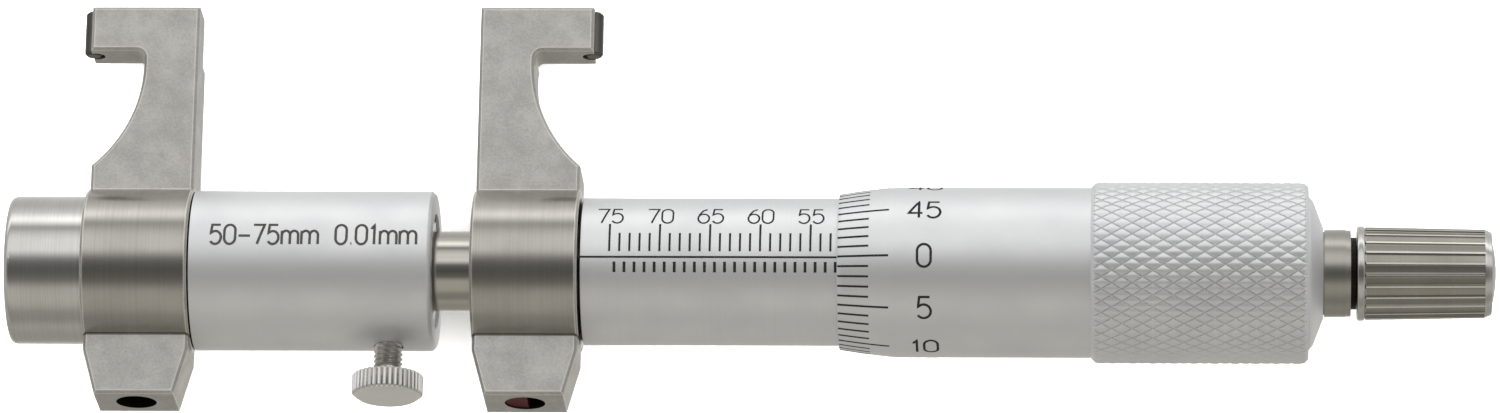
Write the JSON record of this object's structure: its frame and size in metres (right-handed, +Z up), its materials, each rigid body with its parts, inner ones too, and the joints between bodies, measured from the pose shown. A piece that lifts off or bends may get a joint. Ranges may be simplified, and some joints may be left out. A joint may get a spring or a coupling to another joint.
{
  "type": "inside micrometer",
  "caption": "Jaw-type inside micrometer lying on its side: fixed and sliding hooked jaws with carbide contacts, graduated sleeve, knurled thimble, ratchet and lock screw.",
  "frame": {"origin": "middle of the end cap's outer flat face, on the spindle axis", "axes": "+X along the spindle axis from the end cap towards the ratchet; +Z up from the table that the instrument lies on; +Y level, towards the jaw tips"},
  "size_m": [0.1487, 0.0409, 0.0182],
  "materials": {
    "blasted_jaw_steel": "fine blasted hardened steel",
    "carbide": "ground cemented carbide",
    "black_screw_steel": "blackened steel",
    "sealing_lacquer": "glossy sealing lacquer",
    "ground_rod_steel": "ground bright steel",
    "satin_chrome": "satin chrome plate",
    "turned_steel": "turned steel with fine rings",
    "bearing_bronze": "turned bronze",
    "wiper_felt": "pressed felt",
    "spring_steel": "drawn spring wire",
    "graduation_black": "black filling in engraved lines and numbers",
    "bright_nickel": "bright nickel plate"
  },
  "bodies": {
    "frame": {"fixed_jaw": "blasted_jaw_steel", "fixed_contact": "carbide", "fixed_jaw_screw": "black_screw_steel", "screw_lacquer": "sealing_lacquer", "guide_rod": "ground_rod_steel", "inner_sleeve": "ground_rod_steel", "graduated_sleeve": "satin_chrome", "take_up_nut": "satin_chrome"},
    "carriage": {"moving_jaw": "blasted_jaw_steel", "moving_contact": "carbide", "moving_jaw_screw": "black_screw_steel", "carriage_tube": "satin_chrome", "end_cap": "turned_steel", "thrust_bush": "bearing_bronze", "tube_ring_nut": "turned_steel", "rod_wiper": "wiper_felt", "guide_key": "ground_rod_steel"},
    "spindle": {"spindle": "ground_rod_steel", "spindle_retainer": "ground_rod_steel", "thimble": "satin_chrome", "ratchet_body": "turned_steel", "ratchet_pawl": "turned_steel", "ratchet_spring": "spring_steel", "ratchet_screw": "turned_steel"},
    "ratchet": {"ratchet_knob": "turned_steel"},
    "lock_pad": {"lock_pad": "bearing_bronze"},
    "lock_screw": {"lock_screw": "bright_nickel"}
  },
  "joints": [
    {"name": "carriage_slide", "type": "slide", "parent": "frame", "child": "carriage", "axis": [1, 0, 0], "range_m": [-0.0225, 0.0025]},
    {"name": "thimble_turn", "type": "hinge", "parent": "carriage", "child": "spindle", "pos_m": [0, 0, 0], "axis": [1, 0, 0], "range_deg": [-16200, 1800]},
    {"name": "ratchet_turn", "type": "hinge", "parent": "spindle", "child": "ratchet", "pos_m": [0.14, 0, 0], "axis": [1, 0, 0], "continuous": true},
    {"name": "lock_pad_slide", "type": "slide", "parent": "carriage", "child": "lock_pad", "axis": [0, -0.961, 0.2764], "range_m": [-0.00008, 0.001]},
    {"name": "lock_screw_turn", "type": "hinge", "parent": "lock_pad", "child": "lock_screw", "pos_m": [0.03818, 0, 0], "axis": [0, -0.961, 0.2764], "range_deg": [-60, 720]}
  ],
  "couplings": [
    {"joint": "thimble_turn", "follows": "carriage_slide", "rad_per_m": 12566},
    {"joint": "lock_screw_turn", "follows": "lock_pad_slide", "rad_per_m": 12566}
  ]
}
